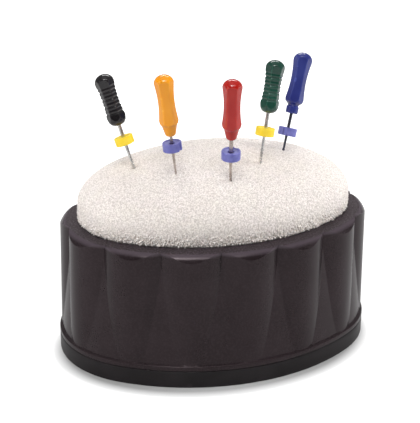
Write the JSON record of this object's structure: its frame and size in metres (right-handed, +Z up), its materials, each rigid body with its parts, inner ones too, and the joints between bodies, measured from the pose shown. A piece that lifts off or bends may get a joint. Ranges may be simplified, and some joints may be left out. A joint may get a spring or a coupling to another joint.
{
  "type": "endodontic file stand",
  "caption": "Oval fluted stand whose domed foam block holds hand files upright; each file has a moulded handle, a twisted steel tip and a stop that slides on its shaft.",
  "frame": {"origin": "centre of the underside, on the surface that the stand rests on", "axes": "+Z up, +X along the oval's long axis, -Y towards the person who uses it"},
  "size_m": [0.06, 0.0434, 0.0559],
  "materials": {
    "shell": "black moulded plastic, satin wall and finely textured rim",
    "base": "black moulded plastic, satin",
    "foam": "soft white open-cell foam with fine pores",
    "steel": "ground stainless steel",
    "black_handle": "glossy moulded plastic",
    "black_stop": "satin silicone rubber",
    "yellow_handle": "glossy moulded plastic",
    "yellow_stop": "satin silicone rubber",
    "red_handle": "glossy moulded plastic",
    "red_stop": "satin silicone rubber",
    "green_handle": "glossy moulded plastic",
    "green_stop": "satin silicone rubber",
    "blue_handle": "glossy moulded plastic",
    "blue_stop": "satin silicone rubber"
  },
  "bodies": {
    "stand": {"stand_body": "shell", "base_plate": "base", "foam_insert": "foam", "black_file_handle": "black_handle", "black_file_blade": "steel", "yellow_file_handle": "yellow_handle", "yellow_file_blade": "steel", "red_file_handle": "red_handle", "red_file_blade": "steel", "green_file_handle": "green_handle", "green_file_blade": "steel", "blue_file_handle": "blue_handle", "blue_file_blade": "steel"},
    "black_stop": {"black_file_stop": "black_stop"},
    "yellow_stop": {"yellow_file_stop": "yellow_stop"},
    "red_stop": {"red_file_stop": "red_stop"},
    "green_stop": {"green_file_stop": "green_stop"},
    "blue_stop": {"blue_file_stop": "blue_stop"}
  },
  "joints": [
    {"name": "black_stop_slide", "type": "slide", "parent": "stand", "child": "black_stop", "axis": [-0.2582, 0.2337, 0.9374], "range_m": [-0.0035, 0.0022]},
    {"name": "yellow_stop_slide", "type": "slide", "parent": "stand", "child": "yellow_stop", "axis": [-0.1271, 0.0121, 0.9918], "range_m": [-0.0044, 0.0012]},
    {"name": "red_stop_slide", "type": "slide", "parent": "stand", "child": "red_stop", "axis": [-0.0347, -0.1045, 0.9939], "range_m": [-0.0035, 0.00225]},
    {"name": "green_stop_slide", "type": "slide", "parent": "stand", "child": "green_stop", "axis": [0.1941, 0.1382, 0.9712], "range_m": [-0.0041, 0.0027]},
    {"name": "blue_stop_slide", "type": "slide", "parent": "stand", "child": "blue_stop", "axis": [0.2807, 0.2143, 0.9356], "range_m": [-0.0017, 0.0027]}
  ]
}
